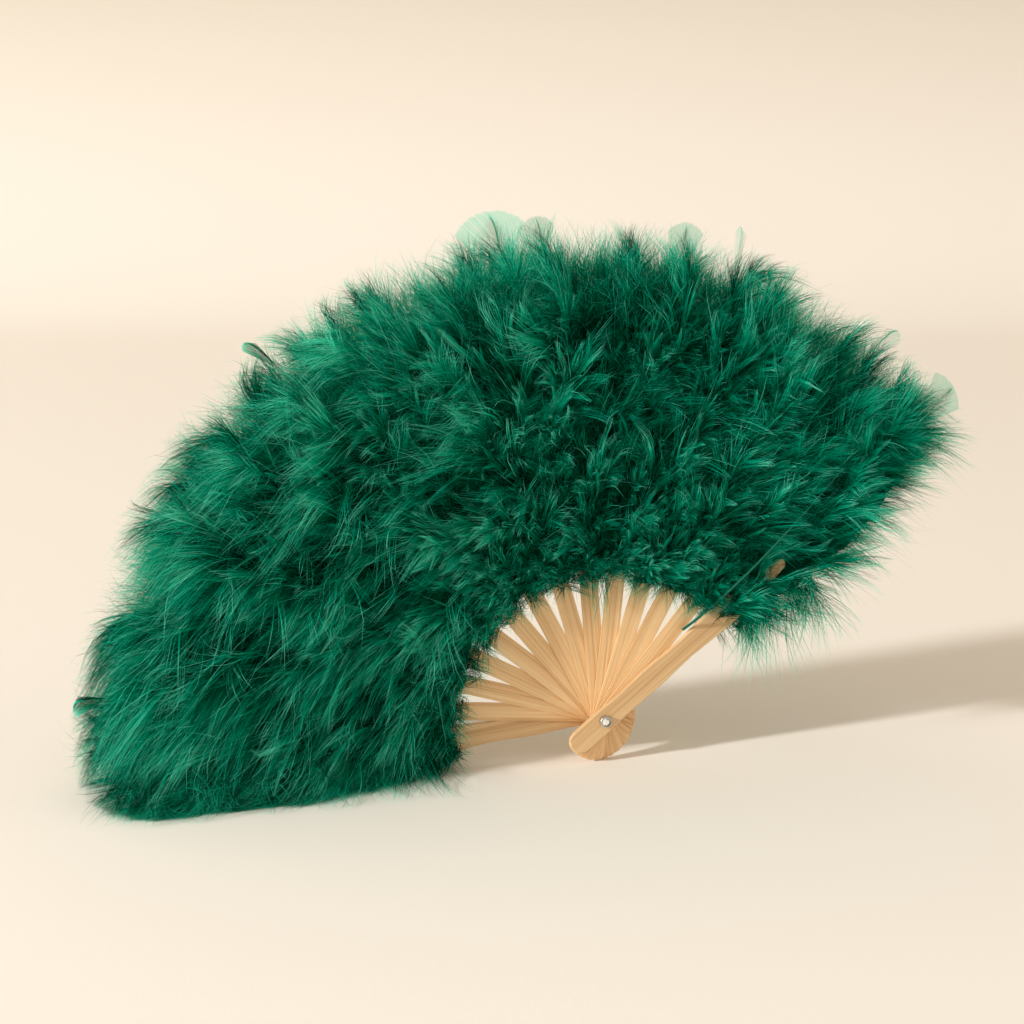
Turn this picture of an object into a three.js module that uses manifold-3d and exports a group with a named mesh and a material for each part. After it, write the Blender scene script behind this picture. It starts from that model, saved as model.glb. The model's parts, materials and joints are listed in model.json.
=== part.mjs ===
// A folding feather fan standing half open on its edge: two bamboo guards and twelve bamboo ribs turn
// on one rivet with a rhinestone on its front, a satin ribbon spaces them, and every stave carries a
// tuft of down plumes on its front and one on its back.
// Millimetres, +Z up. The fan faces -Y, its rivet lies along Y, and the origin is at the centre of the
// fan's base. Angles of the staves are seen from the front, anticlockwise from +X.
import * as THREE from 'three';
import { mergeVertices } from 'three/addons/utils/BufferGeometryUtils.js';
import Module from 'manifold-3d';

const wasm = await Module();
wasm.setup();

// Driving dimensions of the whole fan
const ribCount = 12;
const openAngle = 147.5;
const rearGuardAngle = 186;
const headReach = 22;
const staveReach = 122;
const clearance = 0.3;

// Bamboo ribs: even strips with a round head and a narrower tip
const ribThickness = 0.9;
const ribHalfWidth = 4.5;
const ribTipHalfWidth = 2.6;
const ribTaperShare = 0.62;

// Bamboo guards: thicker, with rounded edges and a waving outline. Each station is a share of the
// stave's length past the rivet, and the half width there as a share of the widest one.
const guardThickness = 2.4;
const guardHalfWidth = 6.9;
const guardEdgeRound = 0.6;
const guardStationShares = [[0, 0.9], [0.12, 0.82], [0.27, 0.9], [0.45, 0.79], [0.7, 1]];
const guardHeadShare = 0.9;
const guardTipShare = 0.45;
const edgePoints = 15;
const arcPoints = 7;

// Rivet, its washer, and the rhinestone in its cup
const pinRadius = 1.6;
const pinHeadRadius = 3;
const pinHeadHeight = 1.2;
const washerRadius = 3.7;
const washerThickness = 0.6;
const cupRadius = 3;
const cupHeight = 1.9;
const cupBase = 0.8;
const stoneRadius = 2.2;
const stoneHeight = 1.6;
const stoneGirdle = 0.5;
const stoneTableShare = 0.56;
const roundSides = 24;
const stoneSides = 10;

// Spacing ribbon, glued across the backs of the staves under the plumes
const ribbonRadius = 88;
const ribbonWidth = 6;
const ribbonThickness = 0.4;
const ribbonEdgeMargin = 1;

// Down plumes: each has overlapping tiers of tufts, and its depth is measured from its stave's middle
const plumeStart = 72;
const plumeReach = 254;
const reachShares = [1, 1, 1, 0.98, 0.96, 0.93, 0.9];
const plumeDepth = 31.5;
const plumeGap = 0.4;
const plumeChannelDepth = 4;
const channelMargin = 4;
const tierShares = [0, 0.2, 0.38, 0.55, 0.72, 0.87, 1];
const crestShares = [0.24, 0.48, 0.7, 0.88, 1, 0.88, 0.4];
const lipDepth = 5;
const lipLength = 3;
const chevronDepth = 15;
const tuftDepth = 4;
const innerBow = 4;
const crownDropShare = 0.3;
const lengthChangeShare = 0.02;
const plumeColumns = 5;
const guardSpill = 27;
const guardSpillShares = [0.2, 0.62, 0.92, 1, 0.82, 0.56, 0.3];
const floorSpill = 14;

// Bare shaft of one plume, bound to the upper edge of the front guard and lying over the last rib's
// plume. Its side shares are places between that rib's middle and the lower edge of its plume.
const quillRadius = 0.8;
const quillTipRadius = 0.3;
const quillStart = 62;
const quillReach = 182;
const quillSideShares = [-0.7, -0.66];
const quillSteps = 14;
const quillSides = 8;

const bamboo = new THREE.MeshStandardMaterial({ color: 0xdcb481, roughness: 0.55, metalness: 0 });
const down = new THREE.MeshStandardMaterial({ color: 0x04694a, roughness: 0.9, metalness: 0 });
const shaft = new THREE.MeshStandardMaterial({ color: 0x1d8a63, roughness: 0.45, metalness: 0 });
const satin = new THREE.MeshStandardMaterial({ color: 0x06523b, roughness: 0.4, metalness: 0 });
const nickel = new THREE.MeshStandardMaterial({ color: 0xb9b6ad, roughness: 0.25, metalness: 1 });
const crystal = new THREE.MeshStandardMaterial({ color: 0xf2f1ea, roughness: 0.05, metalness: 0 });

// Where each stave lies. Stave 0 is the rear guard, and the last is the front guard.
const lastStave = ribCount + 1;
const pitch = THREE.MathUtils.degToRad(openAngle / lastStave);
const stackDepth = 2 * guardThickness + ribCount * ribThickness + lastStave * clearance;
const isGuard = (stave) => stave === 0 || stave === lastStave;
const staveThickness = (stave) => (isGuard(stave) ? guardThickness : ribThickness);
const staveAngle = (stave) => THREE.MathUtils.degToRad(rearGuardAngle) - stave * pitch;

function staveMiddle(stave) {
  if (stave === 0) return stackDepth / 2 - guardThickness / 2;
  if (stave === lastStave) return guardThickness / 2 - stackDepth / 2;
  const behind = guardThickness + clearance + (stave - 1) * (ribThickness + clearance);
  return stackDepth / 2 - behind - ribThickness / 2;
}

function staveMatrix(stave) {
  const turn = new THREE.Matrix4().makeRotationY(-staveAngle(stave));
  return turn.setPosition(0, staveMiddle(stave), headReach);
}

// A closed geometry as a solid that can be cut, and back
function solidFrom(geometry) {
  const bare = new THREE.BufferGeometry();
  bare.setAttribute('position', geometry.getAttribute('position'));
  if (geometry.index) bare.setIndex(geometry.index);
  const merged = mergeVertices(bare, 1e-4);
  return new wasm.Manifold(new wasm.Mesh({
    numProp: 3,
    vertProperties: merged.attributes.position.array,
    triVerts: new Uint32Array(merged.index.array),
  }));
}

function geometryFrom(solid) {
  const mesh = solid.getMesh();
  const geometry = new THREE.BufferGeometry();
  geometry.setAttribute('position', new THREE.BufferAttribute(mesh.vertProperties, 3));
  geometry.setIndex(new THREE.BufferAttribute(mesh.triVerts, 1));
  geometry.computeVertexNormals();
  return geometry;
}

// The solid between two grids of points with equal rows and columns, an upper one and a lower one
function solidBetween(upper, lower) {
  const rows = upper.length;
  const columns = upper[0].length;
  const points = [...upper.flat(), ...lower.flat()];
  const at = (row, column) => row * columns + column;
  const below = (index) => index + rows * columns;
  const faces = [];
  const quad = (a, b, c, d) => faces.push(a, b, c, a, c, d);
  for (let i = 0; i < rows - 1; i++) {
    for (let j = 0; j < columns - 1; j++) {
      quad(at(i, j), at(i + 1, j), at(i + 1, j + 1), at(i, j + 1));
      quad(below(at(i, j + 1)), below(at(i + 1, j + 1)), below(at(i + 1, j)), below(at(i, j)));
    }
    quad(at(i, 0), below(at(i, 0)), below(at(i + 1, 0)), at(i + 1, 0));
    const last = columns - 1;
    quad(at(i + 1, last), below(at(i + 1, last)), below(at(i, last)), at(i, last));
  }
  for (let j = 0; j < columns - 1; j++) {
    const last = rows - 1;
    quad(at(0, j + 1), below(at(0, j + 1)), below(at(0, j)), at(0, j));
    quad(at(last, j), below(at(last, j)), below(at(last, j + 1)), at(last, j + 1));
  }
  const geometry = new THREE.BufferGeometry().setFromPoints(points);
  geometry.setIndex(faces);
  return geometry;
}

function turnedInsideOut(geometry) {
  const index = geometry.index.array;
  for (let i = 0; i < index.length; i += 3) [index[i + 1], index[i + 2]] = [index[i + 2], index[i + 1]];
  return geometry;
}

// Staves: a flat outline along local X, symmetrical about it, with a round head, a round tip and a bore
function halfWidthCurve(stave) {
  const guard = isGuard(stave);
  const widest = guard ? guardHalfWidth : ribHalfWidth;
  const head = guard ? guardHeadShare * widest : widest;
  const tip = guard ? guardTipShare * widest : ribTipHalfWidth;
  const middles = guard ? guardStationShares : [[0, 1], [ribTaperShare, 1]];
  const stations = [[head - headReach, head]];
  middles.forEach(([along, width]) => stations.push([along * staveReach, width * widest]));
  stations.push([staveReach - tip, tip]);
  return new THREE.SplineCurve(stations.map(([x, y]) => new THREE.Vector2(x, y)));
}

function staveOutline(stave) {
  const side = halfWidthCurve(stave).getPoints(edgePoints);
  const head = side[0];
  const tip = side[side.length - 1];
  const outline = side.map((p) => new THREE.Vector2(p.x, -p.y));
  for (let i = 1; i < arcPoints; i++) {
    const angle = (Math.PI * i) / arcPoints - Math.PI / 2;
    outline.push(new THREE.Vector2(tip.x + tip.y * Math.cos(angle), tip.y * Math.sin(angle)));
  }
  outline.push(...side.reverse());
  for (let i = 1; i < arcPoints; i++) {
    const angle = Math.PI / 2 + (Math.PI * i) / arcPoints;
    outline.push(new THREE.Vector2(head.x + head.y * Math.cos(angle), head.y * Math.sin(angle)));
  }
  const shape = new THREE.Shape(outline);
  const bore = new THREE.Path();
  bore.absarc(0, 0, pinRadius + clearance, 0, 2 * Math.PI, true);
  shape.holes.push(bore);
  return shape;
}

function staveGeometry(stave) {
  const thickness = staveThickness(stave);
  const round = isGuard(stave) ? guardEdgeRound : 0;
  const geometry = new THREE.ExtrudeGeometry(staveOutline(stave), {
    depth: thickness - 2 * round,
    bevelEnabled: round > 0,
    bevelThickness: round,
    bevelSize: round,
    bevelOffset: -round,
    bevelSegments: 1,
    curveSegments: roundSides / 2,
  });
  geometry.translate(0, 0, round - thickness / 2);
  geometry.rotateX(Math.PI / 2);
  return geometryFrom(solidFrom(geometry));
}

function staveHalfWidthAt(stave, radius) {
  const points = halfWidthCurve(stave).getPoints(4 * edgePoints);
  const after = points.findIndex((p) => p.x >= radius);
  return Math.max(points[after].y, points[after - 1].y);
}

// Plumes: local X runs along the stave and local Z across it, and a plume ends halfway to the next stave
const smooth = THREE.MathUtils.smoothstep;

function between(shares, position) {
  const place = THREE.MathUtils.clamp(position, 0, 1) * (shares.length - 1);
  const before = Math.min(Math.floor(place), shares.length - 2);
  return THREE.MathUtils.lerp(shares[before], shares[before + 1], place - before);
}

function plumeLength(stave) {
  const reach = plumeReach * between(reachShares, stave / lastStave);
  return (reach - plumeStart) * (1 - lengthChangeShare + lengthChangeShare * Math.sin(2.4 * stave + 0.8));
}

function plumeHalfWidth(stave, x, side) {
  const sector = x * Math.tan(pitch / 2) - plumeGap / 2;
  const along = (x - plumeStart) / plumeLength(stave);
  if (stave === 0 && side > 0) {
    return sector + floorSpill * smooth(along, -0.1, 0.25) * (1 - smooth(along, 0.45, 1));
  }
  if (stave === lastStave && side < 0) return guardSpill * between(guardSpillShares, along);
  return sector;
}

// Rows of tufts from the rivet outwards: each tier rises to a crest, then drops over its lip to the next
function tierRows(stave) {
  const length = plumeLength(stave);
  const rows = [];
  tierShares.forEach((share, tier) => {
    const x = plumeStart + share * length;
    const crest = crestShares[tier] * plumeDepth;
    rows.push({ x, height: crest, tufts: tier === 0 ? 0 : tuftDepth, share });
    const middle = tier > 0 && tier < tierShares.length - 1;
    if (middle) rows.push({ x: x + lipLength, height: crest - lipDepth, tufts: tuftDepth, share });
  });
  return rows;
}

function tuftPoint(stave, row, column, facing) {
  const across = (2 * column) / (plumeColumns - 1) - 1;
  const zigzag = column % 2 === 1 ? row.tufts : -row.tufts;
  const bow = row.share === 0 ? innerBow : -chevronDepth * row.share;
  const x = row.x + bow * across * across + zigzag * (1 - across * across);
  const height = row.height * (1 - crownDropShare * across * across);
  return new THREE.Vector3(x, facing * height, across * plumeHalfWidth(stave, x, across));
}

// The inner side of a plume steps over the ribbon, sits on its stave, and closes up past the stave's tip
function seatRows(stave, facing, count) {
  const seat = staveThickness(stave) / 2 + clearance;
  const channel = facing > 0 ? plumeChannelDepth : 0;
  const channelEnd = ribbonRadius + ribbonWidth / 2 + channelMargin;
  const seatEnd = staveReach + clearance;
  const end = plumeStart + plumeLength(stave);
  const rows = [
    { x: plumeStart, level: seat + channel, share: 0 },
    { x: channelEnd, level: seat + channel },
    { x: channelEnd, level: seat },
    { x: seatEnd, level: seat },
    { x: seatEnd, level: clearance / 2 },
  ];
  const steps = count - rows.length;
  for (let i = 1; i <= steps; i++) {
    rows.push({ x: seatEnd + ((end - seatEnd) * i) / steps, level: clearance / 2, share: i === steps ? 1 : undefined });
  }
  return rows;
}

function seatPoint(stave, row, column, facing) {
  const edge = { x: row.x, height: 0, tufts: row.share === 1 ? tuftDepth : 0, share: row.share };
  const across = (2 * column) / (plumeColumns - 1) - 1;
  const x = row.share === undefined ? row.x : tuftPoint(stave, edge, column, facing).x;
  return new THREE.Vector3(x, facing * row.level, across * plumeHalfWidth(stave, x, across));
}

function plumeGeometry(stave, facing) {
  const rows = tierRows(stave);
  const columns = [...Array(plumeColumns).keys()];
  const upper = rows.map((row) => columns.map((column) => tuftPoint(stave, row, column, facing)));
  const lower = seatRows(stave, facing, rows.length).map((row) =>
    columns.map((column) => seatPoint(stave, row, column, facing)));
  const geometry = solidBetween(upper, lower);
  return facing < 0 ? geometry : turnedInsideOut(geometry);
}

// The rear guard's plumes lie on the surface that the fan stands on, which presses them flat
function pressedFlat(geometry, stave) {
  const matrix = staveMatrix(stave);
  const size = 4 * plumeReach;
  const floor = new THREE.BoxGeometry(size, size, size).translate(0, 0, -size / 2);
  floor.applyMatrix4(matrix.clone().invert());
  return geometryFrom(solidFrom(geometry).subtract(solidFrom(floor)));
}

// Ribbon: one span from the middle of a stave's back to the middle of the next one's
function ribbonGeometry(stave) {
  const next = stave + 1;
  const sideHere = staveHalfWidthAt(stave, ribbonRadius) + ribbonEdgeMargin;
  const sideNext = staveHalfWidthAt(next, ribbonRadius) + ribbonEdgeMargin;
  const stations = [[stave, -clearance / 2], [stave, -sideHere], [next, sideNext], [next, clearance / 2]];
  const edge = (outer, depth) => stations.map(([on, across]) => {
    const radius = ribbonRadius + (outer ? 1 : -1) * (ribbonWidth / 2);
    const level = staveThickness(on) / 2 + clearance + depth;
    return new THREE.Vector3(radius, level, across).applyMatrix4(staveMatrix(on));
  });
  const grid = (depth) => {
    const inner = edge(false, depth);
    const outer = edge(true, depth);
    return inner.map((point, i) => [point, outer[i]]);
  };
  return solidBetween(grid(0), grid(ribbonThickness));
}

// Rivet pieces are turned about Y. A profile gives radius and place along Y, from the back to the front.
function turned(profile, sides) {
  const points = profile.map(([radius, y]) => new THREE.Vector2(radius, y));
  return geometryFrom(solidFrom(new THREE.LatheGeometry(points, sides)));
}

const guardBack = stackDepth / 2;
const guardFront = -stackDepth / 2;
const washerBack = guardBack + clearance + washerThickness;
const cupBack = guardFront - clearance;
const cupFront = cupBack - cupHeight;
const cupFloor = cupBack - cupBase;

function pinGeometry() {
  const seat = washerBack + clearance;
  const front = cupFloor + clearance;
  return turned([
    [0, front],
    [pinRadius, front],
    [pinRadius, seat],
    [pinHeadRadius, seat],
    [pinHeadRadius * 0.8, seat + pinHeadHeight * 0.65],
    [0, seat + pinHeadHeight],
  ], roundSides);
}

function washerGeometry() {
  const bore = pinRadius + clearance;
  const front = guardBack + clearance;
  return turned([[bore, front], [washerRadius, front], [washerRadius, washerBack], [bore, washerBack], [bore, front]], roundSides);
}

function cupGeometry() {
  const bore = pinRadius + clearance;
  const recess = stoneRadius + clearance;
  const lip = (cupRadius - recess) / 2;
  return turned([
    [bore, cupFloor],
    [recess, cupFloor],
    [recess, cupFront],
    [recess + lip, cupFront],
    [cupRadius, cupFront + lip],
    [cupRadius, cupBack],
    [bore, cupBack],
    [bore, cupFloor],
  ], roundSides);
}

function stoneGeometry() {
  const back = cupFloor - clearance;
  const girdle = back - stoneGirdle;
  return turned([
    [0, back - stoneHeight],
    [stoneRadius * stoneTableShare, back - stoneHeight],
    [stoneRadius, girdle],
    [stoneRadius, back],
    [0, back],
  ], stoneSides);
}

// The quill starts in front of the last rib, beside the guard, and follows the crests of the rib's plume
function crestHeightAt(stave, x, across) {
  const rows = tierRows(stave).filter((row, i, all) => i === 0 || row.height > all[i - 1].height - lipDepth / 2);
  const last = rows[rows.length - 1];
  const after = rows.find((row) => row.x >= x) || last;
  const before = rows[Math.max(rows.indexOf(after) - 1, 0)];
  const span = after.x - before.x;
  const height = span > 0 ? THREE.MathUtils.mapLinear(x, before.x, after.x, before.height, after.height) : after.height;
  return height * (1 - crownDropShare * across * across);
}

function quillPath() {
  const face = ribThickness / 2 + clearance + quillRadius;
  const points = [];
  for (let i = 0; i <= quillSteps; i++) {
    const x = THREE.MathUtils.lerp(quillStart, quillReach, i / quillSteps);
    const share = THREE.MathUtils.lerp(...quillSideShares, i / quillSteps);
    const climb = crestHeightAt(ribCount, x + 2 * lipLength, share) + lipDepth;
    const height = x < plumeStart ? THREE.MathUtils.mapLinear(x, quillStart, plumeStart, face, climb) : climb;
    points.push(new THREE.Vector3(x, -height, share * plumeHalfWidth(ribCount, x, -1)));
  }
  return points;
}

function quillGeometry() {
  const path = quillPath();
  const curve = new THREE.CatmullRomCurve3(path);
  const frames = curve.computeFrenetFrames(quillSteps, false);
  const ring = (i) => {
    const radius = THREE.MathUtils.lerp(quillRadius, quillTipRadius, i / quillSteps);
    const centre = curve.getPointAt(i / quillSteps);
    return [...Array(quillSides).keys()].map((side) => {
      const angle = (2 * Math.PI * side) / quillSides;
      return centre.clone()
        .addScaledVector(frames.normals[i], radius * Math.cos(angle))
        .addScaledVector(frames.binormals[i], radius * Math.sin(angle));
    });
  };
  const rings = [...Array(quillSteps + 1).keys()].map(ring);
  const faces = [];
  for (let i = 0; i < quillSteps; i++) {
    for (let side = 0; side < quillSides; side++) {
      const next = (side + 1) % quillSides;
      const [a, b] = [i * quillSides + side, i * quillSides + next];
      faces.push(a, b, b + quillSides, a, b + quillSides, a + quillSides);
    }
  }
  const tip = quillSteps * quillSides;
  for (let side = 1; side < quillSides - 1; side++) {
    faces.push(0, side + 1, side);
    faces.push(tip, tip + side, tip + side + 1);
  }
  const geometry = new THREE.BufferGeometry().setFromPoints(rings.flat());
  geometry.setIndex(faces);
  geometry.computeVertexNormals();
  return geometry;
}

// Assembly
const fan = new THREE.Group();
const two = (number) => String(number).padStart(2, '0');

function add(parent, name, geometry, material) {
  const mesh = new THREE.Mesh(geometry, material.clone());
  mesh.name = name;
  parent.add(mesh);
}

function staveName(stave) {
  if (stave === 0) return 'rear_guard';
  return stave === lastStave ? 'front_guard' : `rib_${two(stave)}`;
}

for (let stave = 0; stave <= lastStave; stave++) {
  const place = new THREE.Group();
  place.applyMatrix4(staveMatrix(stave));
  add(place, staveName(stave), staveGeometry(stave), bamboo);
  const settled = (geometry) => (stave === 0 ? pressedFlat(geometry, stave) : geometry);
  add(place, `front_plume_${two(stave)}`, settled(plumeGeometry(stave, -1)), down);
  add(place, `rear_plume_${two(stave)}`, settled(plumeGeometry(stave, 1)), down);
  if (stave === ribCount) add(place, 'front_quill', quillGeometry(), shaft);
  fan.add(place);
}
for (let stave = 0; stave < lastStave; stave++) {
  add(fan, `ribbon_span_${two(stave + 1)}`, ribbonGeometry(stave), satin);
}
const rivet = new THREE.Group();
rivet.position.z = headReach;
add(rivet, 'rivet_pin', pinGeometry(), nickel);
add(rivet, 'rivet_washer', washerGeometry(), nickel);
add(rivet, 'stone_cup', cupGeometry(), nickel);
add(rivet, 'rhinestone', stoneGeometry(), crystal);
fan.add(rivet);

// The origin is at the centre of the base
fan.updateMatrixWorld(true);
const box = new THREE.Box3().setFromObject(fan, true);
const centre = box.getCenter(new THREE.Vector3());
fan.position.set(-centre.x, -centre.y, -box.min.z);

export default fan;
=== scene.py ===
import json
import math

import bpy
import numpy as np
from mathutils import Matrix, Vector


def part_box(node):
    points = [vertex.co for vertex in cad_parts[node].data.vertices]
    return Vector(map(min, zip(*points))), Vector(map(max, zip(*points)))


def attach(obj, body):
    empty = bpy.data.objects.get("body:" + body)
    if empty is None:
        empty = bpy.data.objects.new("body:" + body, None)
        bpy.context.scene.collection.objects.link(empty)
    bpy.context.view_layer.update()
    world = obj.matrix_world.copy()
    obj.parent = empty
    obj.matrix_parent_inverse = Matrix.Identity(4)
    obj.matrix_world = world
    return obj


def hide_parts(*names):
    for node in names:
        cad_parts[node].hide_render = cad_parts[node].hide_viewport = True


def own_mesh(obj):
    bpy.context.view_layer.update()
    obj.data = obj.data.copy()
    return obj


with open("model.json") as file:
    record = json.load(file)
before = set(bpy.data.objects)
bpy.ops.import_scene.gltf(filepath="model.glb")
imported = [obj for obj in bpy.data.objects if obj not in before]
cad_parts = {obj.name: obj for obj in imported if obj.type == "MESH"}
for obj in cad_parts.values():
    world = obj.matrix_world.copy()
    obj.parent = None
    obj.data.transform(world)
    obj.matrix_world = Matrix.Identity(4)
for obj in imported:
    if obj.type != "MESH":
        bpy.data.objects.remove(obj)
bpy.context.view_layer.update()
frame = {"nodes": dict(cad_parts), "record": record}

# Bamboo sticks
# Fourteen strips of split bamboo, sanded and oiled: two thick guards and twelve thin ribs, bored at
# one end and threaded on the rivet. Fine fibres run along each strip, so each has its own grain angle.
STICKS = 14
REAR_ANGLE, OPEN_ANGLE = 186.0, 147.5
joint = next(j for j in frame["record"]["behaviour"]["joints"] if j["name"] == "fan_fold")
pivot = np.array(joint["pos_m"])


def stick_angle(k):
    return math.radians(REAR_ANGLE - k * OPEN_ANGLE / (STICKS - 1))


def stick_name(k):
    return {0: "rear_guard", STICKS - 1: "front_guard"}.get(k, f"rib_{k:02d}")


def new_material(name):
    material = bpy.data.materials.new(name)
    material.use_nodes = True
    tree = material.node_tree
    return material, tree, tree.nodes["Principled BSDF"]


def add_bump(tree, source, shader, strength, distance):
    bump = tree.nodes.new("ShaderNodeBump")
    bump.inputs["Strength"].default_value = strength
    bump.inputs["Distance"].default_value = distance
    tree.links.new(source, bump.inputs["Height"])
    tree.links.new(bump.outputs["Normal"], shader.inputs["Normal"])


# How far the grain of each strip is shifted from that of the one before.
GRAIN_SHIFT = 0.013
# Fibres as waves per metre along and across the strip, with their detail: fine, middling and broad.
FIBRES = ((18, 2300, 2), (7, 700, 3), (4, 170, 1))
DARK_FIBRE, MIDDLE_FIBRE, PALE_FIBRE = (0.50, 0.285, 0.125), (0.70, 0.46, 0.235), (0.80, 0.58, 0.335)
# The ribs are painted paler than the guards: painted light, to offset the shade that the guards and the down
# cast on them.
RIB_PAINTED_LIGHT = 1.2


def bamboo(k):
    material, tree, shader = new_material(f"bamboo_{k:02d}")
    nodes, links = tree.nodes, tree.links
    coords = nodes.new("ShaderNodeTexCoord")
    turn = nodes.new("ShaderNodeMapping")
    turn.vector_type = "TEXTURE"
    turn.inputs["Location"].default_value = tuple(pivot + np.array([0, GRAIN_SHIFT * k, 0]))
    turn.inputs["Rotation"].default_value = (0, -stick_angle(k), 0)
    links.new(coords.outputs["Object"], turn.inputs["Vector"])
    fibres = []
    for along, across, detail in FIBRES:
        stretch = nodes.new("ShaderNodeMapping")
        stretch.inputs["Scale"].default_value = (along, across * 0.4, across)
        noise = nodes.new("ShaderNodeTexNoise")
        noise.inputs["Scale"].default_value = 1
        noise.inputs["Detail"].default_value = detail
        noise.inputs["Roughness"].default_value = 0.6
        links.new(turn.outputs["Vector"], stretch.inputs["Vector"])
        links.new(stretch.outputs["Vector"], noise.inputs["Vector"])
        fibres.append(noise.outputs["Fac"])
    first = nodes.new("ShaderNodeMix")
    first.inputs["Factor"].default_value = 0.45
    links.new(fibres[0], first.inputs["A"])
    links.new(fibres[1], first.inputs["B"])
    both = nodes.new("ShaderNodeMix")
    both.inputs["Factor"].default_value = 0.35
    links.new(first.outputs["Result"], both.inputs["A"])
    links.new(fibres[2], both.inputs["B"])
    ramp = nodes.new("ShaderNodeValToRGB")
    stops = ramp.color_ramp.elements
    # The ribs take the painted light.
    painted_light = 1.0 if k in (0, STICKS - 1) else RIB_PAINTED_LIGHT
    stops[0].position, stops[1].position = 0.36, 0.62
    stops.new(0.49)
    for stop, colour in zip(stops, (DARK_FIBRE, MIDDLE_FIBRE, PALE_FIBRE)):
        stop.color = (*(channel * painted_light for channel in colour), 1)
    links.new(both.outputs["Result"], ramp.inputs["Fac"])
    links.new(ramp.outputs["Color"], shader.inputs["Base Color"])
    add_bump(tree, first.outputs["Result"], shader, strength=0.25, distance=0.0002)
    shader.inputs["Roughness"].default_value = 0.5
    shader.inputs["Specular IOR Level"].default_value = 0.35
    return material


def dress(node, material):
    node_object = frame["nodes"][node]
    node_object.data.materials.clear()
    node_object.data.materials.append(material)


for k in range(STICKS):
    dress(stick_name(k), bamboo(k))

# Rivet and rhinestone
# A nickel-plated pin with a domed head and washer at the back, and at the front a small cup pressed
# around a foil-backed cut stone.
nickel, tree, shader = new_material("nickel")
shader.inputs["Base Color"].default_value = (0.62, 0.60, 0.56, 1)
shader.inputs["Metallic"].default_value = 1
shader.inputs["Roughness"].default_value = 0.24
scratch = tree.nodes.new("ShaderNodeTexNoise")
scratch.inputs["Scale"].default_value = 2500
add_bump(tree, scratch.outputs["Fac"], shader, strength=0.08, distance=0.0001)
for node in ("rivet_pin", "rivet_washer", "stone_cup"):
    dress(node, nickel)


def add_ramp(tree, source, shader, first, last, end=1.0):
    """Colour a material from the first colour, where the source is 0, to the last, where it is end."""
    ramp = tree.nodes.new("ShaderNodeValToRGB")
    stops = ramp.color_ramp.elements
    stops[0].color = (*first, 1)
    stops[1].position = end
    stops[1].color = (*last, 1)
    tree.links.new(source, ramp.inputs["Fac"])
    tree.links.new(ramp.outputs["Color"], shader.inputs["Base Color"])


crystal, tree, shader = new_material("crystal")
shader.inputs["Metallic"].default_value = 0.55
shader.inputs["Roughness"].default_value = 0.06
shader.inputs["Coat Weight"].default_value = 1
# The stone is painted lighter and darker cell by cell: painted reflections on the facets of the cut stone.
facet_glints = tree.nodes.new("ShaderNodeTexVoronoi")
facet_glints.inputs["Scale"].default_value = 900
position = tree.nodes.new("ShaderNodeTexCoord")
tree.links.new(position.outputs["Object"], facet_glints.inputs["Vector"])
add_ramp(tree, facet_glints.outputs["Color"], shader, (0.30, 0.29, 0.27), (0.95, 0.94, 0.90), end=0.35)
dress("rhinestone", crystal)

# Spacing ribbon and quill
# A narrow emerald satin ribbon is glued across the backs of the sticks, which holds them evenly apart
# when the fan is open and folds away between them. One bare dyed quill lies beside the front guard.
satin, tree, shader = new_material("satin")
threads_and_sheen = tree.nodes.new("ShaderNodeTexWave")
threads_and_sheen.inputs["Scale"].default_value = 900
threads_and_sheen.inputs["Distortion"].default_value = 0.6
position = tree.nodes.new("ShaderNodeTexCoord")
tree.links.new(position.outputs["Object"], threads_and_sheen.inputs["Vector"])
# The thread wave raises the weave and also paints the satin lighter and darker along it: painted sheen on the
# threads.
add_ramp(tree, threads_and_sheen.outputs["Fac"], shader, (0.002, 0.085, 0.045), (0.008, 0.200, 0.115))
add_bump(tree, threads_and_sheen.outputs["Fac"], shader, strength=0.3, distance=0.0001)
shader.inputs["Roughness"].default_value = 0.35

quill, tree, shader = new_material("dyed_quill")
streaks = tree.nodes.new("ShaderNodeTexNoise")
streaks.inputs["Scale"].default_value = 400
add_ramp(tree, streaks.outputs["Fac"], shader, (0.000, 0.050, 0.030), (0.008, 0.170, 0.110))
shader.inputs["Roughness"].default_value = 0.55
shader.inputs["Specular IOR Level"].default_value = 0.15


def tube_faces(steps, sides):
    """Faces of a closed tube whose corners come ring by ring."""
    faces = []
    for near in range(0, sides * steps, sides):
        for side in range(sides):
            turn = (side + 1) % sides
            faces.append((near + side, near + turn, near + sides + turn, near + sides + side))
    return faces + [tuple(range(sides))[::-1], tuple(range(sides * steps, sides * (steps + 1)))]


def new_piece(name, corners, faces, material, smooth=False):
    mesh = bpy.data.meshes.new(name)
    mesh.from_pydata(corners, [], faces)
    mesh.polygons.foreach_set("use_smooth", [smooth] * len(faces))
    mesh.materials.append(material)
    piece = bpy.data.objects.new(name, mesh)
    bpy.context.scene.collection.objects.link(piece)
    return piece


# Where the quill starts, its length and radius, and how much thinner its tip is.
QUILL_ROOT, QUILL_LENGTH, QUILL_RADIUS, QUILL_TAPER = 0.060, 0.144, 0.00075, 0.7
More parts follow.
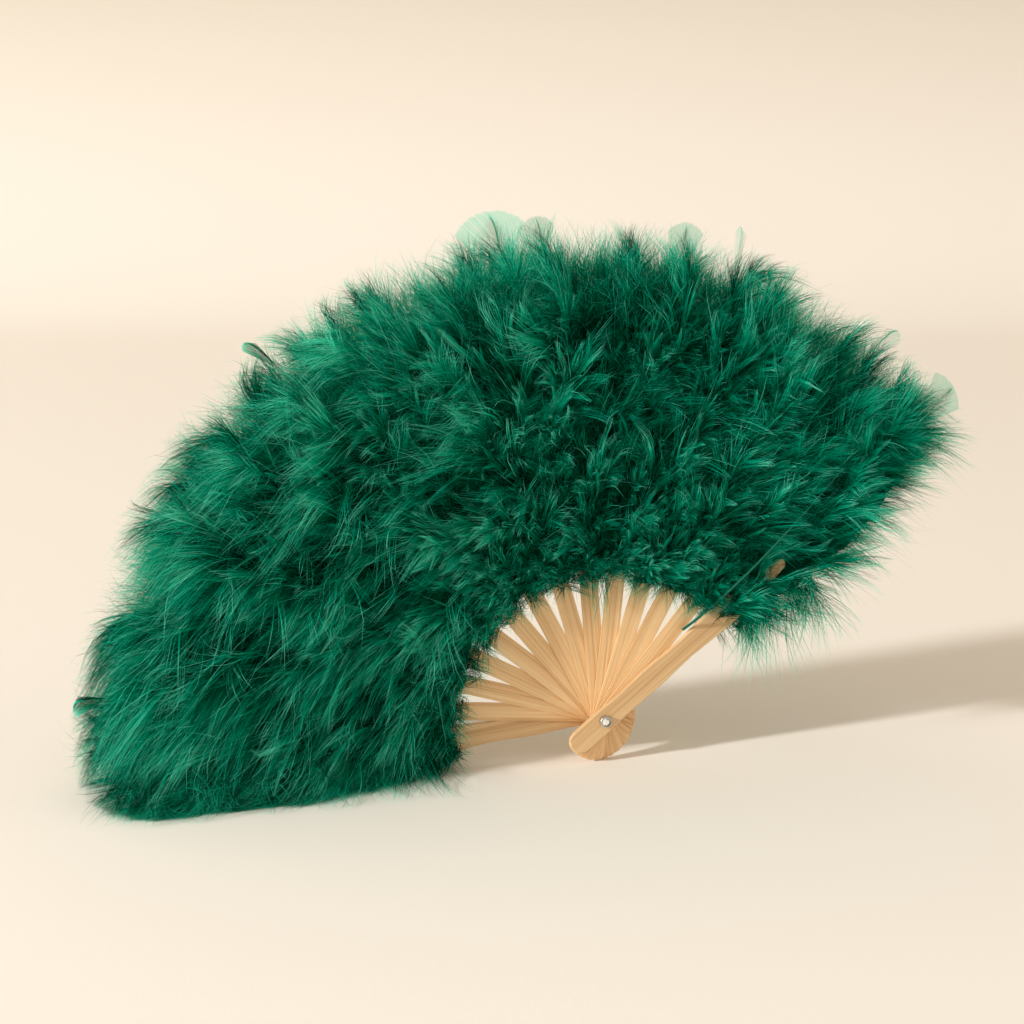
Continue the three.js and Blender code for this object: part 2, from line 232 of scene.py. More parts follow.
# The course of the quill: its angle from the last rib with a slight bow, and its height over that rib.
ROOT_LANE, LANE_GAIN, LANE_BOW = math.radians(-3.3), math.radians(1.4), 0.005
ROOT_LIFT, TIP_LIFT, LIFT_RATE = 0.0015, 0.031, 2.8
LAST_RIB = STICKS - 2
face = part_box(stick_name(LAST_RIB))[0][1]
angle = stick_angle(LAST_RIB)
steps, sides = 28, 8
corners = []
for share in np.linspace(0, 1, steps + 1):
    r = QUILL_ROOT + QUILL_LENGTH * share
    lane = ROOT_LANE + LANE_GAIN * share + LANE_BOW * math.sin(3 * share)
    off = ROOT_LIFT + TIP_LIFT * (1 - math.exp(-LIFT_RATE * share))
    thick = QUILL_RADIUS * (1 - QUILL_TAPER * share)
    for side in range(sides):
        around = 2 * math.pi * side / sides
        w = r * math.sin(lane) + thick * math.cos(around)
        x = r * math.cos(lane) * math.cos(angle) - w * math.sin(angle)
        z = r * math.cos(lane) * math.sin(angle) + w * math.cos(angle)
        corners.append((pivot[0] + x, face - off + thick * math.sin(around), pivot[2] + z))
shaft = new_piece("bare_quill", corners, tube_faces(steps, sides), quill, smooth=True)
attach(shaft, "front_guard")
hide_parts("front_quill")

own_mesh(shaft)

# Each span of the ribbon sags a little between two sticks and ripples along its edges.
BAND_RADIUS, BAND_WIDTH, BAND_THICKNESS = 0.088, 0.006, 0.0004
BAND_GAP, BAND_SAG, BAND_RIPPLE = 0.0004, 0.0009, 0.0002
steps = 16
band_faces = [(a, d, c, b) for a, b, c, d in tube_faces(steps, 4)]
for k in range(STICKS - 1):
    here, there = stick_angle(k), stick_angle(k + 1)
    backs = [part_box(stick_name(j))[1][1] for j in (k, k + 1)]
    corners = []
    for share in np.linspace(0, 1, steps + 1):
        angle = here + share * (there - here)
        back = backs[0] + share * (backs[1] - backs[0]) + BAND_GAP + BAND_SAG * math.sin(math.pi * share)
        ripple = BAND_RIPPLE * math.sin(5 * math.pi * share)
        for r, depth in ((-1, 0), (1, 0), (1, 1), (-1, 1)):
            radius = BAND_RADIUS + r * BAND_WIDTH / 2
            y = back + depth * BAND_THICKNESS + ripple * r
            corners.append((pivot[0] + radius * math.cos(angle), y, pivot[2] + radius * math.sin(angle)))
    band = new_piece(f"band_{k + 1:02d}", corners, band_faces, satin)
    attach(band, stick_name(k))
    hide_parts(f"ribbon_span_{k + 1:02d}")
    along = (-math.sin(here), 0, math.cos(here))
    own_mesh(band)

# Down plumes
# Turkey down dyed emerald, bound to the front and back of every stick. Each plume is a fine shaft
# bristling with long soft barbs that cling together in locks, dark at the root and paler at the tip; the dark
# root is partly the dye and partly painted shade deep in the down.

# The inner and the outer edge of the down, from the rivet. It reaches least far at the front guard.
START, REACH = 0.0735, 0.254
REACH_SHARES = (1, 1, 1, 0.98, 0.96, 0.93, 0.9)
# How high the down stands over its stick: shares of the way outwards, and shares of the depth there.
DEPTH = 0.034
SHARES = (0, 0.2, 0.38, 0.55, 0.72, 0.87, 1)
CRESTS = (0.24, 0.48, 0.7, 0.88, 1, 0.88, 0.4)
HALF_PITCH = math.radians(OPEN_ANGLE / (STICKS - 1) / 2)
# Down that would reach below HEAP is heaped up between there and FLOOR.
FLOOR, HEAP = 0.0004, 0.009
# The map that shades the barbs has this many columns, from dark to pale.
COLUMNS = 64
# Off the fan, in a stick's own axes: outward, off the fan, across.
OFF = np.array([0.0, 1.0, 0.0])


def reach(k):
    place = np.linspace(0, STICKS - 1, len(REACH_SHARES))
    return REACH * np.interp(k, place, REACH_SHARES)


def shell(r, k):
    return DEPTH * np.interp((r - START) / (reach(k) - START), SHARES, CRESTS)


def soft_limit(value, limit, give):
    over = np.maximum(value - limit, 0)
    return np.minimum(value, limit) + give * (1 - np.exp(-over / give))


def unit(v):
    return v / np.maximum(np.linalg.norm(v, axis=-1, keepdims=True), 1e-9)


# The dye and painted shade from the dark root of a barb to its pale tip: share of the ramp, and colour.
DYE_AND_SHADE = (
    (0.00, (0.000, 0.012, 0.006)), (0.22, (0.000, 0.070, 0.034)), (0.45, (0.000, 0.190, 0.102)),
    (0.66, (0.000, 0.400, 0.240)), (0.84, (0.004, 0.600, 0.395)), (1.00, (0.150, 0.880, 0.650)),
)
# A barb's place on the ramp is its own tone plus the base set below, and rises by the gain set below, mostly
# near its tip: its darker root is partly the dye and partly painted shade deep in the down.
DYE_AND_SHADE_LATENESS, DYE_AND_SHADE_GAIN, DYE_AND_SHADE_BASE = 1.8, 0.98, -0.42


def down_material():
    material, tree, shader = new_material("emerald_down")
    nodes, links = tree.nodes, tree.links
    place = nodes.new("ShaderNodeUVMap")
    place.uv_map = "OFBake"
    split = nodes.new("ShaderNodeSeparateXYZ")
    links.new(place.outputs["UV"], split.inputs["Vector"])
    tone = nodes.new("ShaderNodeValToRGB")
    stops = tone.color_ramp.elements
    for at, colour in DYE_AND_SHADE[1:-1]:
        stops.new(at)
    for stop, (at, colour) in zip(stops, DYE_AND_SHADE):
        stop.color = (*colour, 1)
    late = nodes.new("ShaderNodeMath")
    late.operation = "POWER"
    late.inputs[1].default_value = DYE_AND_SHADE_LATENESS
    links.new(split.outputs["Y"], late.inputs[0])
    along = nodes.new("ShaderNodeMath")
    along.operation = "MULTIPLY_ADD"
    along.inputs[1].default_value = DYE_AND_SHADE_GAIN
    along.inputs[2].default_value = DYE_AND_SHADE_BASE
    links.new(late.outputs[0], along.inputs[0])
    both = nodes.new("ShaderNodeMath")
    both.operation = "ADD"
    both.use_clamp = True
    links.new(split.outputs["X"], both.inputs[0])
    links.new(along.outputs[0], both.inputs[1])
    links.new(both.outputs[0], tone.inputs["Fac"])
    links.new(tone.outputs["Color"], shader.inputs["Base Color"])
    shader.inputs["Roughness"].default_value = 0.8
    shader.inputs["Specular IOR Level"].default_value = 0.0
    glow = nodes.new("ShaderNodeBsdfTranslucent")
    links.new(tone.outputs["Color"], glow.inputs["Color"])
    mix = nodes.new("ShaderNodeMixShader")
    mix.inputs["Fac"].default_value = 0.35
    links.new(shader.outputs["BSDF"], mix.inputs[1])
    links.new(glow.outputs["BSDF"], mix.inputs[2])
    links.new(mix.outputs["Shader"], nodes["Material Output"].inputs["Surface"])
    return material


emerald = down_material()


def ribbons(at, heading, bend, face, length, width, tone, curl=0.0, steps=4, blunt=0.0):
    """Points, quads and map places of tapered ribbons, one for each row of the arguments."""
    s = np.linspace(0, 1, steps + 1)[None, :, None]
    sway = np.broadcast_to(curl, at.shape)[:, None] * np.sin(2.2 * math.pi * s) * s
    path = at[:, None] + length[:, None, None] * (s * heading[:, None] + s * s * bend[:, None] + sway)
    direction = unit(heading[:, None] + 2 * s * bend[:, None])
    side = unit(np.cross(direction, face[:, None]))
    half = 0.5 * width[:, None, None] * (0.8 + 0.5 * s) * (1 - (0.94 - blunt) * s ** 1.6)
    points = np.stack([path - side * half, path + side * half], axis=2)
    ids = np.arange(len(at) * (steps + 1) * 2).reshape(len(at), steps + 1, 2)
    quads = np.stack([ids[:, :-1, 0], ids[:, :-1, 1], ids[:, 1:, 1], ids[:, 1:, 0]], axis=-1)
    column = np.clip((tone * COLUMNS).astype(int), 0, COLUMNS - 1)
    places = np.empty((len(at), steps + 1, 2, 2))
    places[..., 0] = (np.stack([column + 0.1, column + 0.9], axis=1) / COLUMNS)[:, None, :]
    places[..., 1] = np.linspace(0.02, 0.98, steps + 1)[None, :, None]
    return points.reshape(-1, 3), quads.reshape(-1, 4), places.reshape(-1, 2)


def joined(parts):
    points, quads, places, first = [], [], [], 0
    for some_points, some_quads, some_places in parts:
        points.append(some_points)
        quads.append(some_quads + first)
        places.append(some_places)
        first += len(some_points)
    return np.concatenate(points), np.concatenate(quads), np.concatenate(places)


def down_pull(k):
    """Gravity in a stick's own axes: outward, off the fan, across."""
    angle = stick_angle(k)
    return np.array([-math.sin(angle), 0.0, -math.cos(angle)])


# Slow waves over the whole fan, which sway neighbouring locks together and shade them alike.
FIELDS, FIELD_WAVES, WAVELENGTHS = 3, 7, (0.018, 0.055)
wave_rng = np.random.default_rng(7)
turns = wave_rng.uniform(0, 2 * math.pi, (FIELDS, FIELD_WAVES))
frequencies = 2 * math.pi / wave_rng.uniform(*WAVELENGTHS, (FIELDS, FIELD_WAVES))
WAVES = frequencies * np.stack([np.cos(turns), np.sin(turns)])
PHASES = wave_rng.uniform(0, 2 * math.pi, (FIELDS, FIELD_WAVES))


def drift(k, spots, field):
    """One of three slow waves at spots given in a stick's own axes, mostly within -1 to 1."""
    angle = stick_angle(k)
    x = spots[:, 0] * math.cos(angle) - spots[:, 2] * math.sin(angle)
    z = spots[:, 0] * math.sin(angle) + spots[:, 2] * math.cos(angle)
    waves = np.outer(x, WAVES[0, field]) + np.outer(z, WAVES[1, field]) + PHASES[field]
    return np.sin(waves).sum(axis=1) / math.sqrt(FIELD_WAVES)


# Where the plumes of one stick end, as shares of the way from the inner edge to the outer one.
TIERS = (0.14, 0.26, 0.38, 0.49, 0.6, 0.71, 0.81, 0.9, 0.99, 0.99)
OUTERMOST = slice(8, 10)
# More plumes of the rear guard, which lie below it on the floor, as the same shares.
FLOOR_TIERS = (0.3, 0.5, 0.75, 0.95)
INNER_MARGIN, TIP_MARGIN = 0.004, 0.020
SHAFT_LENGTHS, BARB_LENGTH = (0.05, 0.085), 0.033
# The lower edge of the front guard's down: distances from the rivet, and degrees from the guard's middle.
HANG_RADII = (0.085, 0.11, 0.137, 0.165, 0.19, 0.21, 0.235)
HANG_LANES = (-2, -7, -5, -2.5, 1, 4, 6.5)
# How pale the plumes of four sticks are. Those between them are blended. The down at the front guard's end is
# partly painted shade: made darker where the key light rakes along its barbs.
KIND_STICKS, KINDS_WITH_PAINTED_LIGHT = (0, 3, 6, 13), (0.24, 0.32, 0.38, 0.23)


def plume_shafts(k, rng):
    """Root and tip radii, root and tip lanes, height share, sway, barb length and tone of each plume."""
    tiers = np.array(TIERS + FLOOR_TIERS * (k == 0))
    count = len(tiers)
    far = reach(k) - TIP_MARGIN
    tip = START + INNER_MARGIN + (far - START) * np.clip(tiers + rng.normal(0, 0.02, count), 0.1, 1.04)
    flip = np.where(np.arange(count) % 2 == 0, 1.0, -1.0) * rng.choice([-1.0, 1.0])
    lane = flip * rng.uniform(0.15, 0.85, count) * HALF_PITCH
    lane[OUTERMOST] = flip[OUTERMOST] * rng.uniform(0.45, 0.68, 2) * HALF_PITCH
    if k == 0:
        lane[-len(FLOOR_TIERS):] = rng.uniform(1.2, 2.1, len(FLOOR_TIERS)) * HALF_PITCH
    if k == STICKS - 1:
        edge = np.radians(np.interp(tip, HANG_RADII, HANG_LANES))
        lane = np.maximum(lane, edge + np.abs(lane) * 0.4)
    shaft = rng.uniform(*SHAFT_LENGTHS, count)
    root = np.maximum(tip - shaft, START + INNER_MARGIN * rng.uniform(-0.5, 0.5, count))
    start_lane = lane * rng.uniform(0.3, 0.8, count)
    level = rng.uniform(0.46, 0.88, count)
    sway = rng.normal(0, 0.05, count)
    size = BARB_LENGTH * np.clip((tip - 0.045) / 0.12, 0.42, 1) * rng.uniform(0.88, 1.12, count)
    kind = np.clip(rng.normal(np.interp(k, KIND_STICKS, KINDS_WITH_PAINTED_LIGHT), 0.08, count), 0.15, 0.65)
    return root, tip, start_lane, lane, level, sway, size, kind


# How far the root of a shaft lies over its stick.
ROOT_HEIGHT = 0.0015


def on_shaft(k, shafts, t, i):
    """Points at a share of the length of the shafts with the given indices."""
    root, tip, start_lane, lane, level, sway = (part[i] for part in shafts[:6])
    r = root + (tip - root) * t
    angle = start_lane + (lane - start_lane) * t + sway * t * t
    height = ROOT_HEIGHT + shell(r, k) * level * (0.35 + 0.65 * np.sqrt(np.abs(t)))
    return np.stack([r * np.cos(angle), height, r * np.sin(angle)], axis=-1)


def shaft_frame(k, shafts, t, i):
    tangent = unit(on_shaft(k, shafts, t + 0.02, i) - on_shaft(k, shafts, t - 0.02, i))
    side = unit(np.cross(tangent, OFF))
    return on_shaft(k, shafts, t, i), tangent, side, np.cross(side, tangent)


def barb_course(k, shafts, t, turn, i, lean):
    """Start, first heading and the way out from the shaft of barbs at a share and turn of their shaft."""
    at, tangent, side, up = shaft_frame(k, shafts, t, i)
    out = np.sin(turn)[:, None] * side + np.cos(turn)[:, None] * up
    flat = np.sin(turn)[:, None] * side + 0.7 * np.cos(turn)[:, None] * up
    heading = unit(np.cos(lean)[:, None] * tangent + np.sin(lean)[:, None] * flat)
    return at, heading, tangent, out


# The rim is the outermost belt, where the barbs spread and are painted paler: painted light, for the light
# that shows through the thin hairs at the edge.
RIM = 0.03
# The down of this many sticks at the left, which lie low, hangs more and has stronger light and dark.
LOW_STICKS = 6
BARB_WIDTHS, WISP_WIDTH = (0.00020, 0.00038), 0.00026


def lock_barbs(k, shafts, rng, locks=84, barbs=10):
    """Barbs all round each shaft. Those of one lock share a bend and lean towards a common tip."""
    count = len(shafts[0])
    i = np.repeat(np.arange(count), locks)
    many = len(i)
    size = shafts[6][i]
    t = rng.uniform(0, 1, many) ** 0.85
    turn = rng.uniform(-1.85, 1.85, many)
    lean = np.radians(43 - 26 * t + rng.normal(0, 6, many))
    at, heading, tangent, out = barb_course(k, shafts, t, turn, i, lean)
    length = size * (0.62 + 0.38 * np.sqrt(t)) * rng.uniform(0.7, 1.2, many)
    low = max(0.0, 1 - k / LOW_STICKS)
    droop = (0.5 + 0.6 * low) * down_pull(k) * rng.uniform(0.1, 1.6, many)[:, None]
    bend = 0.2 * tangent - 0.12 * out + rng.normal(0, 0.08, (many, 3)) + droop
    bend[:, 2] += 0.30 * drift(k, at, 0)
    bend[:, 1] += 0.14 * drift(k, at, 1)
    curl = unit(np.cross(heading, OFF)) * rng.normal(0, 0.045 + 0.05 * low, many)[:, None]
    end = at + length[:, None] * (heading + bend)
    # Barbs that end low in the pile are painted darker and those at its crest paler: painted shade in the
    # valleys between the plumes.
    pile = end[:, 1] / shell(np.hypot(end[:, 0], end[:, 2]), k)
    tone = shafts[7][i] + rng.normal(0, 0.10 + 0.05 * low, many) + 0.75 * (np.clip(pile, 0.3, 1.2) - 0.93)
    tone = tone + 0.09 * drift(k, at, 2)
    tone = tone + low * np.where(rng.uniform(size=many) < 0.2, 0.26, -0.13)
    own = np.repeat(np.arange(many), barbs)
    total = len(own)
    own_t = np.clip(t[own] + rng.normal(0, 0.028, total), 0, 1)
    own_turn = turn[own] + rng.normal(0, 0.15, total)
    own_lean = lean[own] + rng.normal(0, 0.09, total)
    own_at, own_heading, own_tangent, own_out = barb_course(k, shafts, own_t, own_turn, i[own], own_lean)
    own_length = length[own] * rng.uniform(0.62, 1.12, total)
    own_bend = bend[own] + rng.normal(0, 0.05, (total, 3))
    own_end = own_at + own_length[:, None] * (own_heading + own_bend)
    rim = np.clip((np.hypot(end[:, 0], end[:, 2]) - reach(k)) / RIM + 1, 0, 1)
    cling = (rng.uniform(0.35, 0.95, many) * (1 - 0.6 * rim))[own][:, None]
    own_bend = own_bend + cling * (end[own] - own_end) / own_length[:, None]
    width = rng.uniform(*BARB_WIDTHS, total)
    # Barbs in the rim get a paler tone: painted light through the thin edge hairs.
    own_tone = (tone - 0.01 + (0.10 - 0.12 * low) * rim)[own] + rng.normal(0, 0.03, total)
    # Wisps are fine hairs given a much paler tone: painted highlights on glossy strands.
    wisp = rng.uniform(size=total) < 0.035 + 0.05 * low
    own_length = np.where(wisp, own_length * rng.uniform(1.1, 1.4, total), own_length)
    width = np.where(wisp, WISP_WIDTH, width)
    own_tone = np.where(wisp, own_tone + 0.44 + 0.06 * low, own_tone)
    own_bend = own_bend + wisp[:, None] * rng.normal(0, 0.12 + 0.08 * low, own_bend.shape)
    face = unit(own_out + 0.4 * OFF + 0.2 * own_tangent) + rng.normal(0, 0.22, own_bend.shape)
    return own_at, own_heading, own_bend, face, own_length, width, np.clip(own_tone, 0.03, 0.99), curl[own]


FUZZ_WIDTHS = (0.0001, 0.0002)


def fuzz_barbs(k, shafts, rng, count=1500):
    """Single hairs finer than the barbs, all round each plume, which blur its edges."""
    i = rng.integers(0, len(shafts[0]), count)
    t = rng.uniform(0, 1, count) ** 0.7
    turn = rng.uniform(-1.9, 1.9, count)
    lean = np.radians(50 - 26 * t + rng.normal(0, 18, count))
    at, heading, tangent, out = barb_course(k, shafts, t, turn, i, lean)
    length = shafts[6][i] * rng.uniform(0.6, 1.35, count)
    bend = 0.15 * tangent + rng.normal(0, 0.16, (count, 3)) + 0.25 * down_pull(k)
    face = unit(out + 0.4 * OFF) + rng.normal(0, 0.3, (count, 3))
    rim = np.clip((np.hypot(at[:, 0], at[:, 2]) - reach(k) + TIP_MARGIN) / RIM + 1, 0, 1)
    # Fuzz in the rim gets a paler tone: painted light through the thin edge hairs.
    rim_glow = np.interp(k, (0, LOW_STICKS), (0.16, 0.34))
    tone = np.clip(shafts[7][i] - 0.10 + rim_glow * rim + rng.normal(0, 0.06, count), 0.03, 0.95)
    return at, heading, bend, face, length, rng.uniform(*FUZZ_WIDTHS, count), tone


# For each kind of loose down: its belt below the outer edge or from the rivet, its lengths and widths.
RIM_BELT, RIM_LENGTHS, RIM_WIDTHS = (0.018, 0.045), (0.010, 0.026), (0.0001, 0.00022)


def rim_barbs(k, rng, count=1300):
    """Loose fine down that fills the outer edge between the plumes."""
    lane = rng.uniform(-1.15, 1.15, count) * HALF_PITCH
    if k == STICKS - 1:
        lane = np.abs(lane)
    r = reach(k) - rng.uniform(*RIM_BELT, count)
    height = rng.uniform(0.1, 0.8, count) * shell(r, k)
    at = np.stack([r * np.cos(lane), height, r * np.sin(lane)], axis=-1)
    outward = np.stack([np.cos(lane), 0 * lane, np.sin(lane)], axis=-1)
    heading = unit(outward + rng.normal(0, 0.4, (count, 3)))
    bend = rng.normal(0, 0.18, (count, 3)) + 0.15 * down_pull(k)
    face = unit(OFF + rng.normal(0, 0.4, (count, 3)))
    # The loose edge down has a pale tone: painted light through the thin hairs at the edge.
    tone = np.clip(rng.normal(np.interp(k, (0, LOW_STICKS), (0.50, 0.65)), 0.06, count), 0.05, 0.95)
    length = rng.uniform(*RIM_LENGTHS, count)
    return at, heading, bend, face, length, rng.uniform(*RIM_WIDTHS, count), tone


STRAY_BELT, STRAY_LENGTHS, STRAY_WIDTH = (0.016, 0.03), (0.022, 0.036), 0.00016


def stray_barbs(k, shafts, rng, count=70):
    """A few long fine hairs that stand out beyond the outer edge."""
    lane = rng.uniform(-1.1, 1.1, count) * HALF_PITCH
    if k == STICKS - 1:
        lane = np.abs(lane)
    r = reach(k) - rng.uniform(*STRAY_BELT, count)
    at = np.stack([r * np.cos(lane), rng.uniform(0.1, 0.8, count) * shell(r, k), r * np.sin(lane)], axis=-1)
    outward = np.stack([np.cos(lane), 0 * lane, np.sin(lane)], axis=-1)
    heading = unit(outward + rng.normal(0, 0.28, (count, 3)))
    bend = rng.normal(0, 0.2, (count, 3)) + 0.1 * down_pull(k)
    face = unit(OFF + rng.normal(0, 0.4, (count, 3)))
    # The stray hairs have a pale tone: painted light through the thin hairs beyond the edge.
    tone = np.clip(rng.normal(0.74, 0.08, count), 0.05, 0.95)
    return at, heading, bend, face, rng.uniform(*STRAY_LENGTHS, count), np.full(count, STRAY_WIDTH), tone


TUFT_BASE, TUFT_WIDTHS = 0.0012, (0.00014, 0.0003)


def tuft_barbs(k, rng, r, lane, way, size, barbs, shade=0.42):
    """Small loose tufts of down at given places on a stick."""
    tufts = len(r)
    height = rng.uniform(0.12, 0.95, tufts) * shell(r, k) + 0.001
    turn = rng.normal(0, 0.28, (tufts, 3))
    kind = rng.normal(shade, 0.07, tufts)
    i = np.repeat(np.arange(tufts), barbs)
    count = len(i)
    at = np.stack([r * np.cos(lane), height, r * np.sin(lane)], axis=-1)[i]
    at = at + rng.normal(0, TUFT_BASE, (count, 3))
    heading = unit(unit(way)[i] + rng.normal(0, 0.2, (count, 3)))
    heading[:, 1] = np.abs(heading[:, 1])
    bend = turn[i] + 0.2 * down_pull(k) + rng.normal(0, 0.07, (count, 3))
    length = size[i] * rng.uniform(0.6, 1.15, count)
    face = unit(OFF + rng.normal(0, 0.4, (count, 3)))
    tone = np.clip(kind[i] + rng.normal(0, 0.05, count), 0.05, 0.95)
    return at, heading, bend, face, length, rng.uniform(*TUFT_WIDTHS, count), tone


EDGE_BELT, EDGE_SIZES, EDGE_SINK = (0.022, 0.070), (0.012, 0.024), 0.002


def edge_tufts(k, rng, tufts=60):
    """Down that closes the outer edge between the front plumes and the rear ones."""
    lane = rng.uniform(-1.1, 1.1, tufts) * HALF_PITCH
    if k == STICKS - 1:
        lane = np.abs(lane)
    if k == 0:
        lane = lane + 0.5 * HALF_PITCH
    r = reach(k) - rng.uniform(*EDGE_BELT, tufts)
    way = rng.normal(0, 0.22, (tufts, 3)) + np.array([0.9, 0.25, 0.0])
    barbs = 16
    at, heading, *rest = tuft_barbs(k, rng, r, lane, way, rng.uniform(*EDGE_SIZES, tufts), barbs, 0.56)
    at[:, 1] = 0.3 * at[:, 1] - EDGE_SINK
    heading[:, 1] *= np.repeat(rng.uniform(-0.7, 1, tufts), barbs)
    return at, heading, *rest


COLLAR_BELT, COLLAR_SIZES = (0, 0.012), (0.006, 0.015)


def collar_tufts(k, rng, tufts=40):
    """The inner edge of the down, which strays a little over the bare sticks."""
    lane = rng.uniform(-1.0, 1.0, tufts) * HALF_PITCH
    r = START + rng.uniform(*COLLAR_BELT, tufts)
    way = rng.normal(0, 0.55, (tufts, 3)) + np.array([0.25, 0.35, 0.0]) + 0.15 * down_pull(k)
    return tuft_barbs(k, rng, r, lane, way, rng.uniform(*COLLAR_SIZES, tufts), 16)


FRINGE_BELT, FRINGE_SIZES = (0.088, 0.13), (0.012, 0.034)


def fringe_tufts(rng, tufts=34):
    """Down that hangs from the lower edge of the front guard."""
    k = STICKS - 1
    lane = np.radians(rng.uniform(-7, -2.5, tufts))
    r = rng.uniform(*FRINGE_BELT, tufts)
    way = rng.normal(0, 0.3, (tufts, 3)) + np.array([0.25, 0.1, 0.0]) + 0.9 * down_pull(k)
    return tuft_barbs(k, rng, r, lane, way, rng.uniform(*FRINGE_SIZES, tufts), 18, 0.62)


HANGING_BELT, HANGING_SIZES = (0.095, 0.235), (0.014, 0.028)


def hanging_tufts(k, rng, tufts=18):
    """Thin pale wisps that stand off the down of the lowest sticks and hang over it."""
    lane = rng.uniform(-1.1, 1.1, tufts) * HALF_PITCH
    r = rng.uniform(*HANGING_BELT, tufts)
    way = rng.normal(0, 0.28, (tufts, 3)) + np.array([0.45, 0.6, 0.0]) + 0.75 * down_pull(k)
    barbs = 9
    size = rng.uniform(*HANGING_SIZES, tufts)
    at, heading, bend, *rest = tuft_barbs(k, rng, r, lane, way, size, barbs, 0.86)
    at[:, 1] = 0.45 * at[:, 1] + 0.5 * shell(np.hypot(at[:, 0], at[:, 2]), k)
    curl = unit(np.cross(heading, OFF)) * np.repeat(rng.normal(0, 0.10, tufts), barbs)[:, None]
    return at, heading, bend + 0.35 * down_pull(k), *rest, curl


HEM_BELT, HEM_RISE, HEM_SIZES = (0.085, 0.250), (0.003, 0.020), (0.012, 0.044)


def hem_tufts(rng, tufts=110):
    """Locks of the rear guard's down that spill forwards and outwards along the floor."""
    r = rng.uniform(*HEM_BELT, tufts)
    rise = rng.uniform(*HEM_RISE, tufts)
    lane = np.arcsin((pivot[2] - rise) / r) - (stick_angle(0) - math.pi)
    way = rng.normal(0, 0.3, (tufts, 3)) + np.array([0.5, 1.1, 0.35])
    barbs = 14
    at, *rest = tuft_barbs(0, rng, r, lane, way, rng.uniform(*HEM_SIZES, tufts), barbs, 0.50)
    at[:, 1] = np.abs(at[:, 1]) * 0.3 + 0.75 * np.repeat(shell(r, 0), barbs)
    return at, *rest


# The pillow ends before the outer edge. On the front guard it starts past the tip, which stays bare.
PAST_GUARD_TIP, CORE_MARGIN, ROUND_START, ROUND_END = 0.126, 0.025, 0.012, 0.04
# Its underside lies over the stick, and past the stick's end sinks to meet the pillow of the other side.
CORE_SEAT, CORE_THICKNESS, CORE_SINK, PAST_STICK, SINK_WAY = 0.001, 0.0008, 0.0025, 0.150, 0.02
# How far the pillow of the front guard's down reaches below the guard, as shares of the half pitch.
NARROW_RADII, NARROW_SHARES = (START, 0.09, 0.11, 0.15, 0.18), (0.2, 0.4, 1, 0.9, 0.4, 0.0)


def dark_shade_core(k, facing, rng):
    """A closed lumpy pillow under the barbs, so that the plumes are dense, coloured near black as painted
    shade deep in the down.
    """
    rows, columns = 26, 11
    low, high = -1.0, 1.0
    if k == STICKS - 1:
        low = -0.9
    if k == 0:
        high = 1.5
    end = reach(k) - CORE_MARGIN
    start = PAST_GUARD_TIP if k == STICKS - 1 and facing < 0 else START + INNER_MARGIN
    r = np.linspace(start, end, rows)[:, None]
    across = np.linspace(-1, 1, columns)[None, :]
    angle = np.where(across < 0, -low * across, high * across) * HALF_PITCH + 0 * r
    if k == STICKS - 1:
        narrow = np.interp(r, (*NARROW_RADII, end), NARROW_SHARES)
        angle = np.where(across < 0, angle * narrow, angle)
    lumps = rng.uniform(0.50, 0.76, (rows, columns))
    ends = np.sqrt(np.clip(np.minimum((r - start) / ROUND_START, (end - r) / ROUND_END), 0.02, 1))
    height = CORE_SEAT + shell(r, k) * lumps * ends * (1 - 0.5 * across ** 2)
    top = np.stack([r * np.cos(angle), height, r * np.sin(angle)], axis=-1)
    past_stick = np.clip((r - PAST_STICK) / SINK_WAY, 0, 1)
    under = top * np.array([1.0, 0.0, 1.0]) + (CORE_THICKNESS - CORE_SINK * past_stick)[..., None] * OFF
    ids = np.arange(rows * columns).reshape(rows, columns)
    quads = np.stack([ids[:-1, :-1], ids[:-1, 1:], ids[1:, 1:], ids[1:, :-1]], axis=-1).reshape(-1, 4)
    points = np.concatenate([top.reshape(-1, 3), under.reshape(-1, 3)])
    quads = np.concatenate([quads, quads[:, ::-1] + rows * columns])
    # The pillow takes a dark place on the ramp: painted shade inside the down.
    places = np.array([0.12, 0.6]) + rng.uniform(0, 0.05, (len(points), 2))
    return points, quads, places


# Some plumes end in a flat sheer vane: stick, side, angle about the rivet, end radius, length, half
# angle of its fan, twist, curl.
VANES = (
    (8, 1, 101.5, 0.2605, 0.044, 26, 0.25, 0.06), (9, 1, 96.5, 0.2535, 0.036, 20, -0.3, 0.05),
    (10, -1, 81.5, 0.2525, 0.034, 20, 0.2, 0.0), (11, -1, 74, 0.2565, 0.034, 10, 0.9, 0.5),
    (12, 1, 50.5, 0.2500, 0.034, 11, -0.5, -0.3), (13, 1, 39.0, 0.2550, 0.042, 19, 0.2, 0.0),
    (4, 1, 131, 0.2615, 0.024, 9, 0.5, 0.2), (1, -1, 173, 0.2675, 0.020, 13, 0.4, 0.3),
)


# Short vanes are dense and darker, long ones sheer and pale.
VANE_BARB_WIDTH, SHEER_PITCH, DENSE_PITCH, DENSE_BELOW = 0.00017, 0.00042, 0.00012, 0.025


